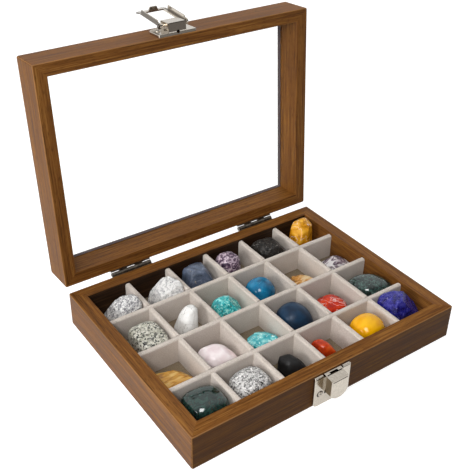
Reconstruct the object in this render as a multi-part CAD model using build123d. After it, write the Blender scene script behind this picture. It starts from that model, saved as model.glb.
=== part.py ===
from build123d import *
import os

# A hinged wooden display box for mineral specimens, standing open as it is photographed.
# Millimetres, +Z up. X runs along the long side, the front looks along -Y, and the origin is
# the centre of the tray's underside. The lid and its fittings are drawn closed, then swung
# open about the hinge axis at the end.

# --- overall sizes ---
box_length = 200.0
box_depth = 150.0
tray_height = 24.3
lid_height = 23.5
parting_gap = 0.15
lid_open_angle = 94.25

# --- wooden frames, mitred at the corners ---
tray_wall = 9.2
lid_wall = 8.4
corner_radius = 1.2
arris_radius = 0.6
inner_arris_radius = 0.4
mitre_overrun = 2.0

# --- tray floor ---
panel_thickness = 3.6
panel_rebate = 4.0
panel_clearance = 0.2
lining_thickness = 1.2
lining_clearance = 0.3

# --- glass in the lid ---
glass_thickness = 2.0
glass_lip = 3.5
groove_depth = 3.0
groove_clearance = 0.05
glass_edge_clearance = 0.4

# --- suede covered dividers ---
columns = 6
rows = 4
divider_thickness = 3.6
divider_rim_drop = 1.8
divider_top_radius = 1.3
divider_end_clearance = 0.2
lap_clearance = 0.05
middle_row_extra = 4.4

# --- butt hinges ---
hinge_spacing = 104.4
hinge_length = 30.0
hinge_reach = 12.5
knuckle_leaf_gap = 0.3
hinge_drop = 0.44
leaf_thickness = 0.9
leaf_corner_radius = 1.2
leaf_edge_clearance = 0.1
knuckle_radius = 1.5
knuckle_count = 5
knuckle_gap = 0.2
hinge_pin_radius = 0.8
pin_clearance = 0.05
hinge_screw_spacing = 10.0
hinge_screw_stagger = 2.4
hinge_screw_inset = 3.4

# --- screws ---
screw_head_radius = 1.6
screw_head_height = 0.6
screw_head_rounding = 0.35
screw_shank_radius = 0.9
screw_length = 6.5
screw_slot_width = 0.45
screw_slot_length = 2.2
screw_slot_depth = 0.35
screw_hole_clearance = 0.15
pilot_clearance = 0.02
pilot_overrun = 0.5
through_cut = 8.0

# --- latch, shared sizes ---
latch_x = -3.2
sheet = 0.7
pan_depth = 1.8
plate_width = 27.4
plate_edge_radius = 0.4
plate_small_corner = 0.8
latch_screw_inset = 4.4

# --- keeper on the tray front ---
keeper_bottom = 0.4
keeper_rim_drop = 1.2
keeper_large_corner = 3.0
keeper_screw_z = 9.8
hood_width = 12.7
hood_reach = 8.3
hood_slope_drop = 1.3
hood_corner_z = 10.8
hood_tip_z = 7.1
hood_rounding = 0.5
hood_slot_width = 5.9
hood_slot_near = 1.3
hood_slot_far = 3.2
notch_width = 1.2
notch_height = 1.7

# --- latch base on the lid front ---
base_edge = 0.6
base_height = 15.6
base_large_corner = 5.5
base_screw_rise = 9.5
housing_side_gap = 0.8
housing_edge = 0.9
housing_height = 9.9
housing_rounding = 0.5
housing_arch_radius = 1.1
housing_arch_x = 0.4

# --- swinging hasp ---
hasp_open_angle = 172.5
hasp_pin_rise = 6.35
hasp_pin_reach = 5.7
hasp_pin_radius = 0.75
hasp_pin_head_rim = 0.45
hasp_pin_head = 0.5
hood_side_gap = 0.75
hasp_arm = 3.1
hasp_sheet = 0.9
hasp_face = 0.6
flange_clearance = 0.3
hasp_ear_radius = 2.0
hasp_arm_start = 2.0
hasp_flange_end_gap = 3.0
hasp_rounding = 0.6
tab_gap = 0.3
tab_thickness = 0.9
tab_root_width = 7.2
tab_tip_width = 4.8
lip_length = 4.9
lip_flare = 1.2
lip_corner_radius = 1.6

# --- torsion spring round the hasp pin ---
spring_clearance = 0.1
spring_room = 0.15
spring_wire_radius = 0.25
spring_pitch = 0.8
spring_turns = 8
spring_leg = 2.6

# --- specimens ---
stone_float = 0.3
pebble_rounding = 0.45
rough_outline = [(1.0, 0.2), (0.4, 1.0), (-0.6, 0.9), (-1.0, -0.1), (-0.5, -1.0), (0.6, -0.85)]
rough_base_share = 0.8
pebble = "pebble"
rough = "rough"

# Each specimen: name, form, free space to the cell's left, right, front and back, height, and
# for a rough one the waist's share of the height, the top's share of the outline, and how far
# the top leans in X and Y.
specimens = [
    [
        ("grey_marble", rough, 3.6, 0.4, 1.0, 5.5, 22.4, 0.15, 0.35, 1.0, -0.4),
        ("rough_quartzite", rough, 5.5, 0.4, 1.2, 6.3, 24.5, 0.15, 0.4, 1.0, -0.4),
        ("blue_chalcedony", pebble, 4.8, 1.8, 5.5, 2.5, 19.0),
        ("purple_lepidolite", pebble, 0.8, 8.8, 7.2, 3.2, 20.5),
        ("black_lava", pebble, 1.3, 1.3, 3.5, 2.5, 19.2),
        ("yellow_jasper", rough, 5.1, 5.1, 7.5, 5.5, 25.0, 0.4, 0.55, 0.35, 0.2),
    ],
    [
        ("speckled_diorite", pebble, 5.4, 0.5, 1.2, 6.2, 17.6),
        ("white_howlite", rough, 6.8, 5.0, 7.2, 8.2, 22.0, 0.3, 0.35, 0.4, 0.1),
        ("green_turquoise", pebble, 4.7, 2.1, 5.2, 8.2, 14.8),
        ("blue_agate", pebble, 0.9, 5.9, 5.2, 7.2, 19.0),
        ("amber_jasper", pebble, 4.3, 1.3, 1.2, 10.7, 7.4),
        ("amethyst_matrix", pebble, 4.3, 1.3, 3.7, 9.7, 12.0),
    ],
    [
        ("yellow_calcite", pebble, 0.8, 1.6, 1.2, 8.2, 8.6),
        ("rose_quartz", pebble, 2.1, 1.3, 3.7, 7.9, 14.2),
        ("turquoise_nugget", pebble, 4.2, 0.8, 2.2, 11.2, 9.4),
        ("blue_aventurine", pebble, 0.4, 2.4, 3.7, 5.7, 20.0),
        ("red_jasper", pebble, 1.6, 4.8, 4.2, 8.2, 12.8),
        ("moss_agate", pebble, 0.4, 0.4, 1.2, 7.2, 17.5),
    ],
    [
        ("bloodstone", pebble, 1.3, 0.7, 2.0, 3.0, 19.5),
        ("granite", pebble, 2.6, 0.5, 2.5, 3.5, 18.0),
        ("black_basalt", pebble, 7.0, 2.8, 4.0, 6.0, 14.5),
        ("carnelian", pebble, 1.8, 9.8, 4.0, 6.0, 16.0),
        ("yellow_jade", pebble, 2.3, 2.3, 2.5, 4.5, 19.0),
        ("lapis", rough, 0.8, 1.1, 6.0, 3.0, 23.0, 0.4, 0.6, -0.2, 0.3),
    ],
]

# --- places that follow from the sizes above ---
front = -box_depth / 2
back = box_depth / 2
lid_base = tray_height + parting_gap
lid_top = lid_base + lid_height
inner_x = box_length / 2 - tray_wall
inner_y = box_depth / 2 - tray_wall
floor_z = panel_thickness + lining_thickness
divider_top = tray_height - divider_rim_drop
lap_z = (floor_z + divider_top) / 2
cell_width = (2 * inner_x - (columns - 1) * divider_thickness) / columns
row_space = 2 * inner_y - (rows - 1) * divider_thickness
outer_row = (row_space - 2 * middle_row_extra) / rows
middle_row = outer_row + middle_row_extra
row_depths = [outer_row, middle_row, middle_row, outer_row]
column_left = [-inner_x + i * (cell_width + divider_thickness) for i in range(columns)]
row_front = [inner_y - sum(row_depths[: j + 1]) - j * divider_thickness for j in range(rows)]
short_divider_x = [x - divider_thickness / 2 for x in column_left[1:]]
long_divider_y = [y - divider_thickness / 2 for y in row_front[:-1]]
hinge_y = back + leaf_thickness + knuckle_leaf_gap + knuckle_radius
hinge_z = tray_height - hinge_drop
hinge_axis = Axis((0, hinge_y, hinge_z), (1, 0, 0))
hinge_centres = {"left": -hinge_spacing / 2, "right": hinge_spacing / 2}
glass_base = lid_top - glass_lip - glass_thickness
keeper_top = tray_height - keeper_rim_drop
hasp_pin_y = front - hasp_pin_reach
hasp_pin_z = lid_base + hasp_pin_rise
hasp_axis = Axis((0, hasp_pin_y, hasp_pin_z), (1, 0, 0))
hasp_opening = hasp_pin_z - hood_tip_z + tab_gap
hasp_inner_width = hood_width + 2 * hood_side_gap
hasp_width = hasp_inner_width + 2 * hasp_arm
flange_reach = pan_depth + screw_head_height + flange_clearance
housing_width = hasp_inner_width - 2 * housing_side_gap
spring_mean_radius = hasp_pin_radius + spring_clearance + spring_wire_radius
spring_reach = hasp_pin_reach + spring_mean_radius + spring_wire_radius
housing_reach = spring_reach + spring_room + sheet
latch_screw_x = plate_width / 2 - latch_screw_inset


def block(x0, x1, y0, y1, z0, z1):
    centre = Pos((x0 + x1) / 2, (y0 + y1) / 2, (z0 + z1) / 2)
    return centre * Box(x1 - x0, y1 - y0, z1 - z0)


def rod_x(radius, x0, x1, y, z):
    return Pos((x0 + x1) / 2, y, z) * Rot(0, 90, 0) * Cylinder(radius, x1 - x0)


def front_block(half_width, reach0, reach1, z0, z1, centre_x=0.0):
    """A block on the front face, given by how far it stands out of the wood."""
    x0 = centre_x - half_width
    x1 = centre_x + half_width
    return block(x0, x1, front - reach1, front - reach0, z0, z1)


def swing_lid(part):
    return part.rotate(hinge_axis, -lid_open_angle)


# --- wooden frames ---
def frame_ring(base, height, wall):
    top = base + height
    ring = block(-box_length / 2, box_length / 2, front, back, base, top)
    ring = fillet(ring.edges().filter_by(Axis.Z), corner_radius)
    faces = ring.faces().sort_by(Axis.Z)
    ring = fillet(faces[0].edges() + faces[-1].edges(), arris_radius)
    x = box_length / 2 - wall
    y = box_depth / 2 - wall
    return ring - block(-x, x, -y, y, base, top)


def soften_inner_edges(ring, levels):
    for z in levels:
        rim = ring.faces().filter_by(Plane.XY).filter_by_position(Axis.Z, z - 0.01, z + 0.01)
        ring = fillet(rim[0].inner_wires()[0].edges(), inner_arris_radius)
    return ring


def mitre_wedge(side, wall, base, height):
    out_x = box_length / 2 + mitre_overrun
    out_y = box_depth / 2 + mitre_overrun
    in_x = box_length / 2 - wall - mitre_overrun
    in_y = box_depth / 2 - wall - mitre_overrun
    outlines = {
        "front": [(-out_x, -out_y), (out_x, -out_y), (in_x, -in_y), (-in_x, -in_y)],
        "back": [(-out_x, out_y), (-in_x, in_y), (in_x, in_y), (out_x, out_y)],
        "left": [(-out_x, -out_y), (-in_x, -in_y), (-in_x, in_y), (-out_x, out_y)],
        "right": [(out_x, -out_y), (out_x, out_y), (in_x, in_y), (in_x, -in_y)],
    }
    face = make_face(Polyline(*outlines[side], close=True))
    return Pos(0, 0, base) * extrude(face, height)


def tray_ring():
    ring = frame_ring(0, tray_height, tray_wall)
    ring = soften_inner_edges(ring, [tray_height])
    x = inner_x + panel_rebate
    y = inner_y + panel_rebate
    return ring - block(-x, x, -y, y, 0, panel_thickness)


def bottom_panel():
    x = inner_x + panel_rebate - panel_clearance
    y = inner_y + panel_rebate - panel_clearance
    return block(-x, x, -y, y, 0, panel_thickness)


def floor_lining():
    x = inner_x - lining_clearance
    y = inner_y - lining_clearance
    return block(-x, x, -y, y, panel_thickness, floor_z)


def lid_ring():
    ring = frame_ring(lid_base, lid_height, lid_wall)
    ring = soften_inner_edges(ring, [lid_base, lid_top])
    x = box_length / 2 - lid_wall + groove_depth
    y = box_depth / 2 - lid_wall + groove_depth
    low = glass_base - groove_clearance
    high = glass_base + glass_thickness + groove_clearance
    return ring - block(-x, x, -y, y, low, high)


def lid_glass():
    x = box_length / 2 - lid_wall + groove_depth - glass_edge_clearance
    y = box_depth / 2 - lid_wall + groove_depth - glass_edge_clearance
    return block(-x, x, -y, y, glass_base, glass_base + glass_thickness)


# --- dividers, half lapped where they cross ---
def divider_bar(x0, x1, y0, y1, along):
    bar = block(x0, x1, y0, y1, floor_z, divider_top)
    top_edges = bar.faces().sort_by(Axis.Z)[-1].edges().filter_by(along)
    return fillet(top_edges, divider_top_radius)


def long_divider(y):
    x = inner_x - divider_end_clearance
    half = divider_thickness / 2
    bar = divider_bar(-x, x, y - half, y + half, Axis.X)
    slot = half + lap_clearance
    for cross in short_divider_x:
        bar -= block(cross - slot, cross + slot, y - slot, y + slot, floor_z, lap_z)
    return bar


def short_divider(x):
    y = inner_y - divider_end_clearance
    half = divider_thickness / 2
    bar = divider_bar(x - half, x + half, -y, y, Axis.Y)
    slot = half + lap_clearance
    for cross in long_divider_y:
        bar -= block(x - slot, x + slot, cross - slot, cross + slot, lap_z, divider_top)
    return bar


# --- screws ---
def pan_screw():
    """A screw along Z: its head stands on Z = 0 and its shank reaches below."""
    head = Pos(0, 0, screw_head_height / 2) * Cylinder(screw_head_radius, screw_head_height)
    head = fillet(head.edges().sort_by(Axis.Z)[-1], screw_head_rounding)
    slot_z = screw_head_height - screw_slot_depth / 2
    for angle in (0, 90):
        cutter = Box(screw_slot_length, screw_slot_width, screw_slot_depth)
        head -= Pos(0, 0, slot_z) * Rot(0, 0, angle) * cutter
    shank = Pos(0, 0, -screw_length / 2) * Cylinder(screw_shank_radius, screw_length)
    return head + shank


def front_screw(x, reach, z):
    return Pos(x, front - reach, z) * Rot(90, 0, 0) * pan_screw()


def back_screw(x, reach, z):
    return Pos(x, back + reach, z) * Rot(-90, 0, 0) * pan_screw()


def pilot_hole(x, z, at_front, depth):
    """The hole that a screw has cut in the front or back face of the wood."""
    length = depth + pilot_overrun
    y = front + length / 2 if at_front else back - length / 2
    radius = screw_shank_radius + pilot_clearance
    return Pos(x, y, z) * Rot(90, 0, 0) * Cylinder(radius, length)


def hinge_screw_places(side_sign):
    """X and Z of one leaf's screws: side_sign is 1 for the lid leaf and -1 for the tray leaf."""
    places = []
    for centre in hinge_centres.values():
        for step in (-1, 0, 1):
            row = hinge_reach - hinge_screw_inset
            if step == 0:
                row -= hinge_screw_stagger
            places.append((centre + step * hinge_screw_spacing, hinge_z + side_sign * row))
    return places


keeper_screw_places = [(latch_x + s * latch_screw_x, keeper_screw_z) for s in (-1, 1)]
base_screw_z = lid_base + base_screw_rise
base_screw_places = [(latch_x + s * latch_screw_x, base_screw_z) for s in (-1, 1)]


def drill(board, places, at_front, depth):
    for x, z in places:
        board -= pilot_hole(x, z, at_front, depth)
    return board


# --- hinges ---
def knuckle_span(centre, index):
    pitch = hinge_length / knuckle_count
    start = centre - hinge_length / 2 + index * pitch
    return start + knuckle_gap / 2, start + pitch - knuckle_gap / 2


def hinge_leaf(centre, side_sign, first_knuckle):
    """One leaf with its knuckles: side_sign is 1 for the lid leaf, -1 for the tray leaf."""
    near = lid_base if side_sign > 0 else hinge_z - leaf_edge_clearance
    far = hinge_z + side_sign * hinge_reach
    x0 = centre - hinge_length / 2
    x1 = centre + hinge_length / 2
    plate = block(x0, x1, back, back + leaf_thickness, min(near, far), max(near, far))
    corners = plate.edges().filter_by(Axis.Y).group_by(Axis.Z)
    outer = corners[-1] if side_sign > 0 else corners[0]
    plate = fillet(outer, leaf_corner_radius)
    step = hinge_z + side_sign * leaf_edge_clearance
    edge = hinge_z + side_sign * knuckle_radius
    for index in range(first_knuckle, knuckle_count, 2):
        k0, k1 = knuckle_span(centre, index)
        plate += block(k0, k1, back, hinge_y, min(step, edge), max(step, edge))
        plate += rod_x(knuckle_radius, k0, k1, hinge_y, hinge_z)
    plate -= rod_x(hinge_pin_radius + pin_clearance, x0, x1, hinge_y, hinge_z)
    for x, z in hinge_screw_places(side_sign):
        if x0 < x < x1:
            radius = screw_shank_radius + screw_hole_clearance
            hole = Cylinder(radius, through_cut)
            plate -= Pos(x, back, z) * Rot(90, 0, 0) * hole
    return plate


def hinge_pin(centre):
    half = hinge_length / 2
    return rod_x(hinge_pin_radius, centre - half, centre + half, hinge_y, hinge_z)


# --- latch ---
def pressed_pan(z0, z1, low_corner, high_corner, screw_places):
    """A shallow pressed plate on the front face, hollow towards the wood."""
    middle = (z0 + z1) / 2
    outline = Pos(latch_x, middle) * Rectangle(plate_width, z1 - z0)
    corners = outline.vertices().group_by(Axis.Y)
    outline = fillet(corners[0], low_corner)
    corners = outline.vertices().group_by(Axis.Y)
    outline = fillet(corners[-1], high_corner)
    wood = Plane.XZ.offset(-front)
    pan = wood * extrude(outline, pan_depth)
    outer_face = pan.faces().sort_by(Axis.Y)[0]
    pan = fillet(outer_face.edges(), plate_edge_radius)
    hollow = offset(outline, -sheet)
    pan -= wood * extrude(hollow, pan_depth - sheet)
    for x, z in screw_places:
        radius = screw_shank_radius + screw_hole_clearance
        pan -= Pos(x, front, z) * Rot(90, 0, 0) * Cylinder(radius, through_cut)
    return pan


def keeper_hood():
    half = hood_width / 2
    low_left = (-half, hood_corner_z)
    low_right = (half, hood_corner_z)
    arc = ThreePointArc(low_left, (0, hood_tip_z), low_right)
    sides = Polyline(low_right, (half, keeper_top), (-half, keeper_top), low_left)
    outline = make_face([arc, sides])
    hood = Plane.XZ.offset(-front) * extrude(outline, hood_reach)
    front_face = hood.faces().sort_by(Axis.Y)[0]
    hood = fillet(front_face.edges(), hood_rounding)
    slope_start = front - pan_depth
    slope_end = front - hood_reach
    profile = Polyline(
        (slope_start, keeper_top),
        (slope_end, keeper_top - hood_slope_drop),
        (slope_end, keeper_top),
        close=True,
    )
    cutter = Plane.YZ.offset(-hood_width) * extrude(make_face(profile), 2 * hood_width)
    return Pos(latch_x, 0, 0) * (hood - cutter)


def keeper_plate():
    plate = pressed_pan(
        keeper_bottom, keeper_top, keeper_large_corner, plate_small_corner, keeper_screw_places
    )
    plate += keeper_hood()
    half = hood_width / 2 - sheet
    reach = hood_reach - sheet
    roof = keeper_top - hood_slope_drop - sheet
    plate -= front_block(half, 0, reach, hood_corner_z, roof, latch_x)
    plate -= front_block(half, pan_depth, reach, keeper_bottom, hood_corner_z, latch_x)
    plate -= front_block(hood_slot_width / 2, hood_slot_near, hood_slot_far, roof, tray_height, latch_x)
    notch_x = hood_width / 2 + notch_width / 2
    notch_z = keeper_top - notch_height
    for sign in (-1, 1):
        x = latch_x + sign * notch_x
        plate -= front_block(notch_width / 2, 0, pan_depth, notch_z, tray_height, x)
    return plate


def latch_base():
    bottom = lid_base + base_edge
    top = bottom + base_height
    plate = pressed_pan(bottom, top, plate_small_corner, base_large_corner, base_screw_places)
    low = lid_base + housing_edge
    high = low + housing_height
    housing = front_block(housing_width / 2, 0, housing_reach, low, high, latch_x)
    outer_face = housing.faces().sort_by(Axis.Y)[0]
    plate += fillet(outer_face.edges(), housing_rounding)
    inner = housing_width / 2 - sheet
    reach = housing_reach - sheet
    plate -= front_block(inner, 0, reach, low + sheet, high - sheet, latch_x)
    half = plate_width / 2
    radius = hasp_pin_radius + pin_clearance
    plate -= rod_x(radius, latch_x - half, latch_x + half, hasp_pin_y, hasp_pin_z)
    arch = Cylinder(housing_arch_radius, 2 * sheet)
    plate -= Pos(latch_x + housing_arch_x, front - pan_depth, low) * arch
    return plate


def hasp():
    """The swinging loop, drawn hanging from its pin as when the box is shut."""
    half = hasp_width / 2
    inner = hasp_inner_width / 2
    face_reach = hasp_pin_reach + hasp_face
    back_reach = face_reach - hasp_sheet
    end = hasp_opening + tab_thickness
    arm_top = hasp_pin_z - hasp_arm_start
    bar_bottom = hasp_pin_z - end
    loop = front_block(half, back_reach, face_reach, bar_bottom, arm_top)
    flange_bottom = bar_bottom + hasp_flange_end_gap
    for sign in (-1, 1):
        x = sign * (half - hasp_sheet / 2)
        loop += front_block(hasp_sheet / 2, flange_reach, face_reach, flange_bottom, arm_top, x)
    long_edges = loop.edges().filter_by(Axis.Z).sort_by(Axis.Y)[:2]
    loop = fillet(long_edges, hasp_rounding)
    opening_end = hasp_pin_z - hasp_opening
    loop -= front_block(inner, back_reach, face_reach, opening_end, arm_top)
    for sign in (-1, 1):
        x0 = sign * half
        x1 = sign * (half - hasp_sheet)
        ear = rod_x(hasp_ear_radius, min(x0, x1), max(x0, x1), hasp_pin_y, hasp_pin_z)
        x = (x0 + x1) / 2
        neck = front_block(
            hasp_sheet / 2, flange_reach + hasp_ear_radius / 2, face_reach, arm_top, hasp_pin_z, x
        )
        loop += ear + neck
    loop -= rod_x(hasp_pin_radius + pin_clearance, -half, half, hasp_pin_y, hasp_pin_z)
    tab = Polyline(
        (-tab_root_width / 2, front - back_reach),
        (-tab_tip_width / 2, front - flange_reach),
        (tab_tip_width / 2, front - flange_reach),
        (tab_root_width / 2, front - back_reach),
        close=True,
    )
    loop += Pos(0, 0, bar_bottom) * extrude(make_face(tab), tab_thickness, dir=(0, 0, 1))
    lip = Polyline(
        (front - back_reach, bar_bottom),
        (front - back_reach - lip_flare, bar_bottom - lip_length),
        (front - face_reach - lip_flare, bar_bottom - lip_length),
        (front - face_reach, bar_bottom),
        close=True,
    )
    lip_solid = Plane.YZ.offset(-half) * extrude(make_face(lip), hasp_width)
    tip_edges = lip_solid.edges().group_by(Axis.Z)[0]
    tip_corners = tip_edges.filter_by(lambda edge: edge.length < lip_corner_radius)
    loop += fillet(tip_corners, lip_corner_radius)
    return Pos(latch_x, 0, 0) * loop


def hasp_pin():
    half = hasp_width / 2 + pin_clearance
    pin = rod_x(hasp_pin_radius, -half, half, hasp_pin_y, hasp_pin_z)
    for sign in (-1, 1):
        x0 = sign * half
        x1 = sign * (half + hasp_pin_head)
        radius = hasp_pin_radius + hasp_pin_head_rim
        pin += rod_x(radius, min(x0, x1), max(x0, x1), hasp_pin_y, hasp_pin_z)
    return Pos(latch_x, 0, 0) * pin


def latch_spring():
    length = spring_pitch * spring_turns
    start = Plane(origin=(-length / 2, 0, 0), x_dir=(0, 1, 0), z_dir=(1, 0, 0))
    coil = start * Helix(spring_pitch, length, spring_mean_radius)
    section = Plane(origin=coil @ 0, z_dir=coil % 0) * Circle(spring_wire_radius)
    spring = sweep(section, path=coil, is_frenet=True)
    leg = Cylinder(spring_wire_radius, spring_leg)
    leg_rise = spring_leg / 2 - spring_wire_radius
    for sign in (-1, 1):
        x = sign * length / 2
        spring += Pos(x, spring_mean_radius, sign * leg_rise) * leg
    return Pos(latch_x, hasp_pin_y, hasp_pin_z) * spring


# --- specimens ---
def stone_solid(spec, column, row):
    form = spec[1]
    left, right, near, far, height = spec[2:7]
    width = cell_width - left - right
    depth = row_depths[row] - near - far
    x = column_left[column] + left + width / 2
    y = row_front[row] + near + depth / 2
    place = Pos(x, y, floor_z + stone_float)
    if form == pebble:
        body = Pos(0, 0, height / 2) * Box(width, depth, height)
        return place * fillet(body.edges(), pebble_rounding * min(width, depth, height))
    waist_share, top_share, lean_x, lean_y = spec[7:11]
    levels = [
        (0.0, rough_base_share, 0.0),
        (waist_share * height, 1.0, 0.0),
        (height, top_share, 1.0 - top_share),
    ]
    sections = []
    for z, share, lean in levels:
        points = []
        for u, v in rough_outline:
            px = (u * share + lean * lean_x) * width / 2
            py = (v * share + lean * lean_y) * depth / 2
            points.append((px, py))
        sections.append(Pos(0, 0, z) * make_face(Polyline(*points, close=True)))
    return place * loft(sections, ruled=True)


# --- assembly ---
nodes = {}
tray = tray_ring()
for side in ("front", "back", "left", "right"):
    board = tray & mitre_wedge(side, tray_wall, 0, tray_height)
    if side == "front":
        board = drill(board, keeper_screw_places, True, screw_length - pan_depth)
    if side == "back":
        board = drill(board, hinge_screw_places(-1), False, screw_length - leaf_thickness)
    nodes[f"tray_{side}_wall"] = board
nodes["tray_bottom_panel"] = bottom_panel()
nodes["tray_floor_lining"] = floor_lining()
for number, y in enumerate(long_divider_y, 1):
    nodes[f"long_divider_{number}"] = long_divider(y)
for number, x in enumerate(short_divider_x, 1):
    nodes[f"short_divider_{number}"] = short_divider(x)

lid = lid_ring()
lid_nodes = {"lid_glass": lid_glass()}
for side, name in (("front", "rail"), ("back", "rail"), ("left", "stile"), ("right", "stile")):
    board = lid & mitre_wedge(side, lid_wall, lid_base, lid_height)
    if side == "front":
        board = drill(board, base_screw_places, True, screw_length - pan_depth)
    if side == "back":
        board = drill(board, hinge_screw_places(1), False, screw_length - leaf_thickness)
    lid_nodes[f"lid_{side}_{name}"] = board

for side, centre in hinge_centres.items():
    nodes[f"{side}_hinge_tray_leaf"] = hinge_leaf(centre, -1, 0)
    nodes[f"{side}_hinge_pin"] = hinge_pin(centre)
    lid_nodes[f"{side}_hinge_lid_leaf"] = hinge_leaf(centre, 1, 1)
nodes["hinge_tray_screws"] = Compound(
    [back_screw(x, leaf_thickness, z).solid() for x, z in hinge_screw_places(-1)]
)
lid_nodes["hinge_lid_screws"] = Compound(
    [back_screw(x, leaf_thickness, z).solid() for x, z in hinge_screw_places(1)]
)

nodes["latch_keeper_plate"] = keeper_plate()
nodes["latch_keeper_screws"] = Compound(
    [front_screw(x, pan_depth, z).solid() for x, z in keeper_screw_places]
)
lid_nodes["latch_base_plate"] = latch_base()
lid_nodes["latch_base_screws"] = Compound(
    [front_screw(x, pan_depth, z).solid() for x, z in base_screw_places]
)
lid_nodes["latch_hasp_pin"] = hasp_pin()
lid_nodes["latch_spring"] = latch_spring()
lid_nodes["latch_hasp"] = hasp().rotate(hasp_axis, -hasp_open_angle)
for name, solid in lid_nodes.items():
    nodes[name] = swing_lid(solid)

for row, line in enumerate(specimens):
    for column, spec in enumerate(line):
        nodes[f"stone_r{row + 1}c{column + 1}_{spec[0]}"] = stone_solid(spec, column, row)

os.makedirs("parts", exist_ok=True)
for name, solid in nodes.items():
    export_step(solid, f"parts/{name}.step")
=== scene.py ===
import math
import random

import bmesh
import bpy
from mathutils import Euler, Matrix, Vector, noise


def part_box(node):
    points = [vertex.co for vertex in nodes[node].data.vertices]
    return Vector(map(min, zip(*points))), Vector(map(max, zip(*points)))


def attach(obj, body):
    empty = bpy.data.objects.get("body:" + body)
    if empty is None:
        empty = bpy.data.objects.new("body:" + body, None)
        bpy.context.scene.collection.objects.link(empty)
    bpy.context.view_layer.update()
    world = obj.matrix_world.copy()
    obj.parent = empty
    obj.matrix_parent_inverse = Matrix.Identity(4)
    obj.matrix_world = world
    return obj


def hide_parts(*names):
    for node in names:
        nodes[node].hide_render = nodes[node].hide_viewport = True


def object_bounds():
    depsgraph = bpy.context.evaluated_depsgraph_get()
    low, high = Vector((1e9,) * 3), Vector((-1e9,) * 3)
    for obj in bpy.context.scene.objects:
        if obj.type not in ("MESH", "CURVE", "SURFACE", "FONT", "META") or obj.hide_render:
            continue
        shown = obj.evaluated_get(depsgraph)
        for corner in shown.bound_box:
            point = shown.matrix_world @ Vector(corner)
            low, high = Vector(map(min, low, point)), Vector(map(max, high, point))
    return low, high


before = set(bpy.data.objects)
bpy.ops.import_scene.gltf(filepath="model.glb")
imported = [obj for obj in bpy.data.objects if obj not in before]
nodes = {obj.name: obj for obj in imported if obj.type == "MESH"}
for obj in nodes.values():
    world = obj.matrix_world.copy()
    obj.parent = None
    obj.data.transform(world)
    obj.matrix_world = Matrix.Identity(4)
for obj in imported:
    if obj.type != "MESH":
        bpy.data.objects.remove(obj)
cad_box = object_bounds()

# --- tray boards ---
# Four walnut boards, mitred at the corners and glued up into the tray's wall. The grain runs along
# each board, and a thin satin lacquer leaves the pores open, so the gloss is low and broken.
mm = 0.001
light_walnut = [(0.15, "#4d2e11"), (0.4, "#6a4119"), (0.6, "#794d20"), (0.85, "#8f612d")]
# The next two sets of tones are painted shade: for the front board's face and the back board's
# inner face.
front_shade_walnut = [(0.15, "#371f06"), (0.4, "#4a2b0e"), (0.6, "#573611"), (0.85, "#6a4716")]
back_shade_walnut = [(0.2, "#1c1008"), (0.5, "#2f1d10"), (0.8, "#46301d")]
# The pale edge tint is a painted highlight, and the grey lip tint is a painted shade.
pore_brown, edge_highlight_tint, lip_shade = "#351f0c", "#b88a5a", "#4b4245"
figure_mm, streak_mm, fibre_mm, pore_mm = (170, 7.0), (70, 1.7), (24, 0.75), (5, 0.5)
along_x, along_y = (0.0, 0.0, 0.0), (0.0, 0.0, math.radians(-90))
tray_heights_mm, lid_heights_mm = (0.0, 24.3), (24.45, 47.95)
noise_span = {"From Min": 0.3, "From Max": 0.7}


def linear(hex_colour):
    """The linear colour that a shader takes, from an sRGB hex value."""
    parts = [int(hex_colour[i:i + 2], 16) / 255 for i in (1, 3, 5)]
    return [p / 12.92 if p <= 0.04045 else ((p + 0.055) / 1.055) ** 2.4 for p in parts] + [1.0]


def add_node(tree, kind, inputs=(), stops=(), **settings):
    """A new shader node with its settings, its values or links, and the stops of its ramp. Sockets
    that share a name go by number: a Mix node's are 0, 2, 3 for numbers and 0, 6, 7 for colours."""
    node = tree.nodes.new("ShaderNode" + kind)
    for name, value in settings.items():
        setattr(node, name, value)
    for key, value in dict(inputs).items():
        if isinstance(value, bpy.types.NodeSocket):
            tree.links.new(value, node.inputs[key])
        else:
            node.inputs[key].default_value = value
    for index, (place, colour) in enumerate(stops):
        ramp = node.color_ramp.elements
        stop = ramp[index] if index < 2 else ramp.new(place)
        stop.position = place
        stop.color = linear(colour)
    return node


def new_material(name):
    """A named material, its node tree and its Principled node."""
    material = bpy.data.materials.new(name)
    material.use_nodes = True
    return material, material.node_tree, material.node_tree.nodes["Principled BSDF"]


def stain(material, mask, tint):
    """Lays a tint over the colour that a material has so far, where the mask is 1."""
    tree = material.node_tree
    base = tree.nodes["Principled BSDF"].inputs["Base Color"]
    under = base.links[0].from_socket
    over = add_node(tree, "Mix", {0: mask, 6: under, 7: linear(tint)}, data_type="RGBA")
    tree.links.new(over.outputs[2], base)


def within(tree, place, low_mm, high_mm):
    """A mask that is 1 inside the block between two corners."""
    parts = add_node(tree, "SeparateXYZ", {0: place}).outputs
    mask = 1.0
    for part, low, high in zip(parts, low_mm, high_mm):
        for edge, test in ((low, "GREATER_THAN"), (high, "LESS_THAN")):
            side = add_node(tree, "Math", {0: part, 1: edge * mm}, operation=test).outputs[0]
            mask = add_node(tree, "Math", {0: mask, 1: side}, operation="MULTIPLY").outputs[0]
    return mask


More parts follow.
